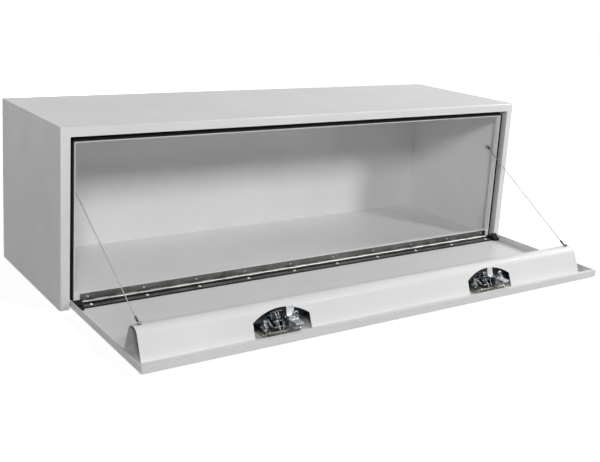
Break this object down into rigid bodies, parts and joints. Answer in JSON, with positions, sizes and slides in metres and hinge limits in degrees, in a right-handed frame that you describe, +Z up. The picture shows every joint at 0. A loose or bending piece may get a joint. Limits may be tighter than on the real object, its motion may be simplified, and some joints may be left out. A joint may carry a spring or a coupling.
{
  "type": "underbody tool box",
  "caption": "Long box for the underside of a truck, with a drop-down door on a full-length hinge, paddle latches, locks and stay cables, shown open.",
  "frame": {"origin": "centre of the underside of the box's body", "axes": "+X along the box, -Y out of the door opening, +Z up"},
  "size_m": [1.524, 0.8663, 0.457],
  "materials": {
    "white_powder_coat": "semi-gloss white powder coat",
    "brushed_stainless": "brushed stainless steel, slightly dark",
    "polished_stainless": "polished stainless steel with a blue cast",
    "bright_zinc": "bright zinc plate",
    "black_rubber": "matt black rubber",
    "galvanised_rope": "galvanised steel wire rope"
  },
  "bodies": {
    "box": {"body_rivet_01": "bright_zinc", "body_rivet_02": "bright_zinc", "body_rivet_03": "bright_zinc", "body_rivet_04": "bright_zinc", "body_rivet_05": "bright_zinc", "body_rivet_06": "bright_zinc", "body_rivet_07": "bright_zinc", "body_rivet_08": "bright_zinc", "body_rivet_09": "bright_zinc", "body_rivet_10": "bright_zinc", "body_shell": "white_powder_coat", "door_seal": "black_rubber", "hinge_body_leaf": "brushed_stainless", "hinge_pin": "brushed_stainless", "left_cable": "galvanised_rope", "left_wall_eye": "bright_zinc", "left_wall_stud": "bright_zinc", "right_cable": "galvanised_rope", "right_wall_eye": "bright_zinc", "right_wall_stud": "bright_zinc"},
    "door": {"door_panel": "white_powder_coat", "door_rivet_01": "white_powder_coat", "door_rivet_02": "white_powder_coat", "door_rivet_03": "white_powder_coat", "door_rivet_04": "white_powder_coat", "door_rivet_05": "white_powder_coat", "door_rivet_06": "white_powder_coat", "door_rivet_07": "white_powder_coat", "door_rivet_08": "white_powder_coat", "door_rivet_09": "white_powder_coat", "door_rivet_10": "white_powder_coat", "door_stiffener": "white_powder_coat", "hinge_door_leaf": "brushed_stainless", "hinge_gasket": "black_rubber", "hinge_strip": "black_rubber", "left_bolt_bracket": "brushed_stainless", "left_bolt_spring": "bright_zinc", "left_corner_bumper": "black_rubber", "left_door_eye": "bright_zinc", "left_door_stud": "bright_zinc", "left_latch_dish": "polished_stainless", "left_lock_cylinder": "bright_zinc", "left_paddle_pin": "bright_zinc", "right_bolt_bracket": "brushed_stainless", "right_bolt_spring": "bright_zinc", "right_corner_bumper": "black_rubber", "right_door_eye": "bright_zinc", "right_door_stud": "bright_zinc", "right_latch_dish": "polished_stainless", "right_lock_cylinder": "bright_zinc", "right_paddle_pin": "bright_zinc"},
    "left_paddle": {"left_paddle": "brushed_stainless"},
    "left_bolt": {"left_bolt": "bright_zinc"},
    "left_lock_plug": {"left_lock_plug": "bright_zinc"},
    "right_paddle": {"right_paddle": "brushed_stainless"},
    "right_bolt": {"right_bolt": "bright_zinc"},
    "right_lock_plug": {"right_lock_plug": "bright_zinc"}
  },
  "joints": [
    {"name": "door_hinge", "type": "hinge", "parent": "box", "child": "door", "pos_m": [0, -0.2198, 0.0115], "axis": [-1, 0, 0], "range_deg": [0, 90], "deforming": ["left_cable", "right_cable"]},
    {"name": "left_paddle_pivot", "type": "hinge", "parent": "door", "child": "left_paddle", "pos_m": [-0.339, -0.5878, 0.0096], "axis": [-1, 0, 0], "range_deg": [0, 30], "stiffness_Nm_per_rad": 0.1, "springref_deg": -20.05},
    {"name": "left_bolt_slide", "type": "slide", "parent": "door", "child": "left_bolt", "axis": [0, -1, 0], "range_m": [0, 0.0095], "deforming": ["left_bolt_spring"]},
    {"name": "left_lock_turn", "type": "hinge", "parent": "door", "child": "left_lock_plug", "pos_m": [-0.382, -0.5618, 0.0081], "axis": [0, 0, -1], "range_deg": [0, 90]},
    {"name": "right_paddle_pivot", "type": "hinge", "parent": "door", "child": "right_paddle", "pos_m": [0.351, -0.5878, 0.0096], "axis": [-1, 0, 0], "range_deg": [0, 30], "stiffness_Nm_per_rad": 0.1, "springref_deg": -20.05},
    {"name": "right_bolt_slide", "type": "slide", "parent": "door", "child": "right_bolt", "axis": [0, -1, 0], "range_m": [0, 0.0095], "deforming": ["right_bolt_spring"]},
    {"name": "right_lock_turn", "type": "hinge", "parent": "door", "child": "right_lock_plug", "pos_m": [0.308, -0.5618, 0.0081], "axis": [0, 0, -1], "range_deg": [0, 90]}
  ]
}
